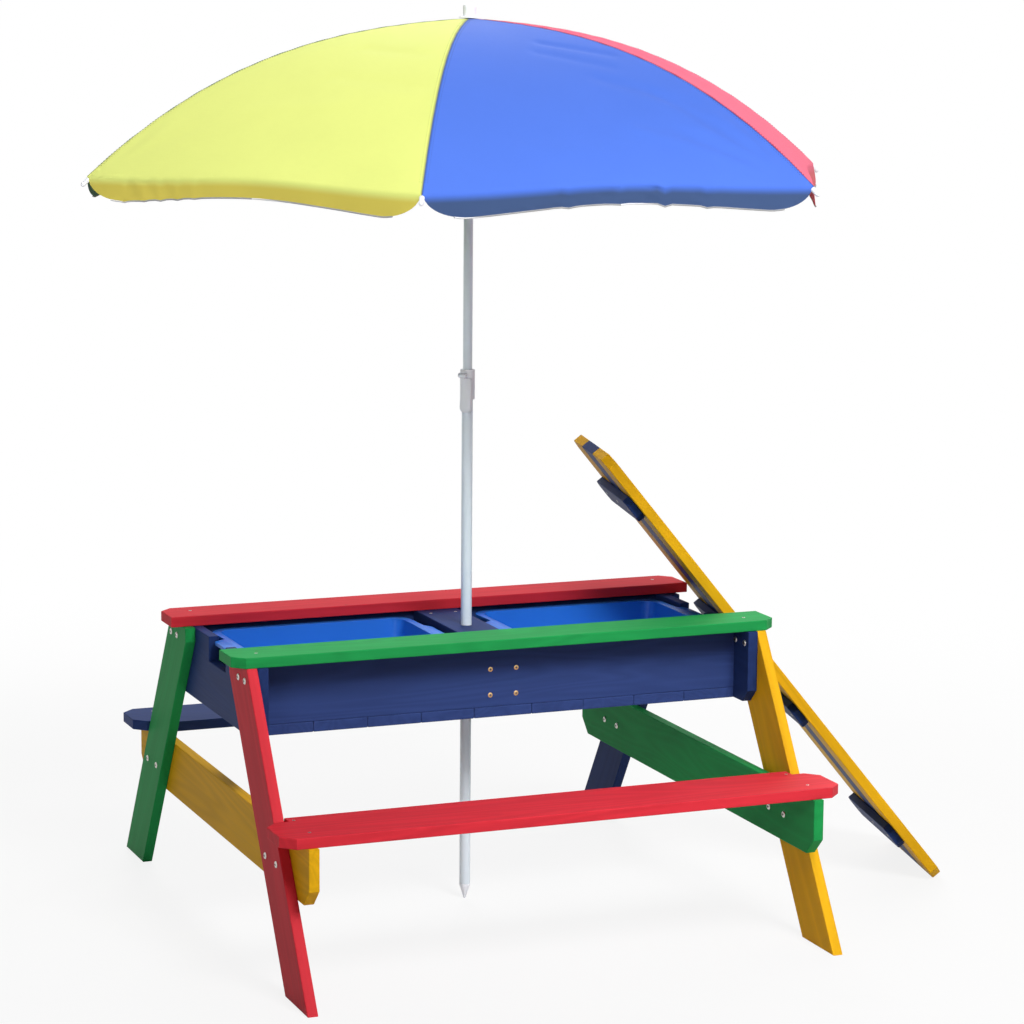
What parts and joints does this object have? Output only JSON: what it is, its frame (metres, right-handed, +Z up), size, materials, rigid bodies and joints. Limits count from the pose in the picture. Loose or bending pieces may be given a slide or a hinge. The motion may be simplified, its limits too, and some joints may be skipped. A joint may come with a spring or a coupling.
{
  "type": "picnic table with sandbox",
  "caption": "Children's picnic table with benches, a sunken box holding lift-out play tubs, a lift-off lid leaning at one end and a folding parasol through its middle.",
  "frame": {"origin": "on the floor under the parasol pole's axis, at the flat tip of its spike", "axes": "+X along the table to the right, +Y away from the front bench, +Z up"},
  "size_m": [1.5885, 1.2188, 1.558],
  "materials": {
    "paint_red": "satin paint over wood",
    "paint_green": "satin paint over wood",
    "paint_yellow": "satin paint over wood",
    "paint_navy": "satin paint over wood",
    "paint_slate": "satin paint over wood",
    "tub_blue": "moulded plastic, smooth",
    "pole_white": "white coated steel tube",
    "fitting_white": "moulded plastic",
    "frame_steel": "coated steel",
    "cloth_yellow": "woven polyester",
    "cloth_blue": "woven polyester",
    "cloth_red": "woven polyester",
    "cloth_green": "woven polyester"
  },
  "bodies": {
    "table": {"rail_front": "paint_green", "rail_back": "paint_red", "leg_front_left": "paint_red", "leg_front_right": "paint_yellow", "leg_back_left": "paint_green", "leg_back_right": "paint_navy", "bench_front": "paint_red", "bench_back": "paint_slate", "cross_member_left": "paint_yellow", "cross_member_right": "paint_green", "end_panel_left": "paint_navy", "end_panel_right": "paint_navy", "long_panel_front": "paint_navy", "long_panel_back": "paint_navy", "slat_1": "paint_navy", "slat_2": "paint_navy", "slat_3": "paint_navy", "slat_4": "paint_navy", "slat_5": "paint_navy", "slat_6": "paint_navy", "slat_7": "paint_navy", "slat_8": "paint_navy", "slat_9": "paint_navy", "divider_left": "paint_navy", "divider_right": "paint_navy", "centre_plank": "paint_navy"},
    "tub_left": {"tub_left": "tub_blue"},
    "tub_right": {"tub_right": "tub_blue"},
    "lid": {"lid_plank_front": "paint_yellow", "lid_plank_middle": "paint_navy", "lid_plank_back": "paint_yellow", "lid_batten_1": "paint_navy", "lid_batten_2": "paint_navy", "lid_batten_3": "paint_navy", "lid_batten_4": "paint_navy"},
    "mast": {"pole_lower": "pole_white", "pole_spike": "fitting_white", "clamp_collar": "fitting_white"},
    "lever": {"clamp_lever": "fitting_white"},
    "upper_mast": {"pole_upper": "pole_white", "crown": "fitting_white"},
    "runner": {"runner": "fitting_white"},
    "rib_1": {"rib_1": "frame_steel", "canopy_panel_1": "cloth_yellow"},
    "stretcher_1": {"stretcher_1": "frame_steel"},
    "rib_2": {"rib_2": "frame_steel", "canopy_panel_2": "cloth_blue"},
    "stretcher_2": {"stretcher_2": "frame_steel"},
    "rib_3": {"rib_3": "frame_steel", "canopy_panel_3": "cloth_green"},
    "stretcher_3": {"stretcher_3": "frame_steel"},
    "rib_4": {"rib_4": "frame_steel", "canopy_panel_4": "cloth_yellow"},
    "stretcher_4": {"stretcher_4": "frame_steel"},
    "rib_5": {"rib_5": "frame_steel", "canopy_panel_5": "cloth_blue"},
    "stretcher_5": {"stretcher_5": "frame_steel"},
    "rib_6": {"rib_6": "frame_steel", "canopy_panel_6": "cloth_red"},
    "stretcher_6": {"stretcher_6": "frame_steel"}
  },
  "joints": [
    {"name": "tub_left_lift", "type": "slide", "parent": "table", "child": "tub_left", "axis": [0, 0, 1], "range_m": [0, 0.15]},
    {"name": "lid_tip", "type": "hinge", "parent": "table", "child": "lid", "pos_m": [0.83718, -0.19508, 0], "axis": [0.2079, 0.9781, 0], "range_deg": [0, 38.8]},
    {"name": "tub_right_lift", "type": "slide", "parent": "table", "child": "tub_right", "axis": [0, 0, 1], "range_m": [0, 0.15]},
    {"name": "mast_lift", "type": "slide", "parent": "table", "child": "mast", "axis": [0, 0, 1], "range_m": [0, 0.5]},
    {"name": "lever_swing", "type": "hinge", "parent": "mast", "child": "lever", "pos_m": [-0.01227, -0.00791, 0.929], "axis": [-0.5417, 0.8406, 0], "range_deg": [0, 110]},
    {"name": "mast_height", "type": "slide", "parent": "mast", "child": "upper_mast", "axis": [0, 0, 1], "range_m": [-0.02, 0.12]},
    {"name": "canopy_fold", "type": "slide", "parent": "upper_mast", "child": "runner", "axis": [0, 0, -1], "range_m": [0, 0.2968], "deforming": ["canopy_panel_1", "canopy_panel_2", "canopy_panel_3", "canopy_panel_4", "canopy_panel_5", "canopy_panel_6"]},
    {"name": "rib_1_fold", "type": "hinge", "parent": "upper_mast", "child": "rib_1", "pos_m": [0.01348, 0.00066, 1.524], "axis": [-0.0489, 0.9988, 0], "range_deg": [0, 66.1]},
    {"name": "stretcher_1_fold", "type": "hinge", "parent": "runner", "child": "stretcher_1", "pos_m": [0.01331, 0.0043, 1.29], "axis": [0.0489, -0.9988, 0], "range_deg": [0, 36]},
    {"name": "rib_2_fold", "type": "hinge", "parent": "upper_mast", "child": "rib_2", "pos_m": [0.00617, 0.01201, 1.524], "axis": [-0.8894, 0.4571, 0], "range_deg": [0, 66.1]},
    {"name": "stretcher_2_fold", "type": "hinge", "parent": "runner", "child": "stretcher_2", "pos_m": [0.00292, 0.01368, 1.29], "axis": [0.8894, -0.4571, 0], "range_deg": [0, 36]},
    {"name": "rib_3_fold", "type": "hinge", "parent": "upper_mast", "child": "rib_3", "pos_m": [-0.00731, 0.01135, 1.524], "axis": [-0.8406, -0.5417, 0], "range_deg": [0, 66.1]},
    {"name": "stretcher_3_fold", "type": "hinge", "parent": "runner", "child": "stretcher_3", "pos_m": [-0.01038, 0.00937, 1.29], "axis": [0.8406, 0.5417, 0], "range_deg": [0, 36]},
    {"name": "rib_4_fold", "type": "hinge", "parent": "upper_mast", "child": "rib_4", "pos_m": [-0.01348, -0.00066, 1.524], "axis": [0.0489, -0.9988, 0], "range_deg": [0, 66.1]},
    {"name": "stretcher_4_fold", "type": "hinge", "parent": "runner", "child": "stretcher_4", "pos_m": [-0.01331, -0.0043, 1.29], "axis": [-0.0489, 0.9988, 0], "range_deg": [0, 36]},
    {"name": "rib_5_fold", "type": "hinge", "parent": "upper_mast", "child": "rib_5", "pos_m": [-0.00617, -0.01201, 1.524], "axis": [0.8894, -0.4571, 0], "range_deg": [0, 66.1]},
    {"name": "stretcher_5_fold", "type": "hinge", "parent": "runner", "child": "stretcher_5", "pos_m": [-0.00292, -0.01368, 1.29], "axis": [-0.8894, 0.4571, 0], "range_deg": [0, 36]},
    {"name": "rib_6_fold", "type": "hinge", "parent": "upper_mast", "child": "rib_6", "pos_m": [0.00731, -0.01135, 1.524], "axis": [0.8406, 0.5417, 0], "range_deg": [0, 66.1]},
    {"name": "stretcher_6_fold", "type": "hinge", "parent": "runner", "child": "stretcher_6", "pos_m": [0.01038, -0.00937, 1.29], "axis": [-0.8406, -0.5417, 0], "range_deg": [0, 36]}
  ],
  "couplings": [
    {"joint": "tub_right_lift", "follows": "lid_tip", "m_per_rad": 0.22148},
    {"joint": "rib_1_fold", "follows": "canopy_fold", "rad_per_m": 3.8811},
    {"joint": "stretcher_1_fold", "follows": "canopy_fold", "rad_per_m": 2.1087},
    {"joint": "rib_2_fold", "follows": "canopy_fold", "rad_per_m": 3.8811},
    {"joint": "stretcher_2_fold", "follows": "canopy_fold", "rad_per_m": 2.1087},
    {"joint": "rib_3_fold", "follows": "canopy_fold", "rad_per_m": 3.8811},
    {"joint": "stretcher_3_fold", "follows": "canopy_fold", "rad_per_m": 2.1087},
    {"joint": "rib_4_fold", "follows": "canopy_fold", "rad_per_m": 3.8811},
    {"joint": "stretcher_4_fold", "follows": "canopy_fold", "rad_per_m": 2.1087},
    {"joint": "rib_5_fold", "follows": "canopy_fold", "rad_per_m": 3.8811},
    {"joint": "stretcher_5_fold", "follows": "canopy_fold", "rad_per_m": 2.1087},
    {"joint": "rib_6_fold", "follows": "canopy_fold", "rad_per_m": 3.8811},
    {"joint": "stretcher_6_fold", "follows": "canopy_fold", "rad_per_m": 2.1087}
  ]
}
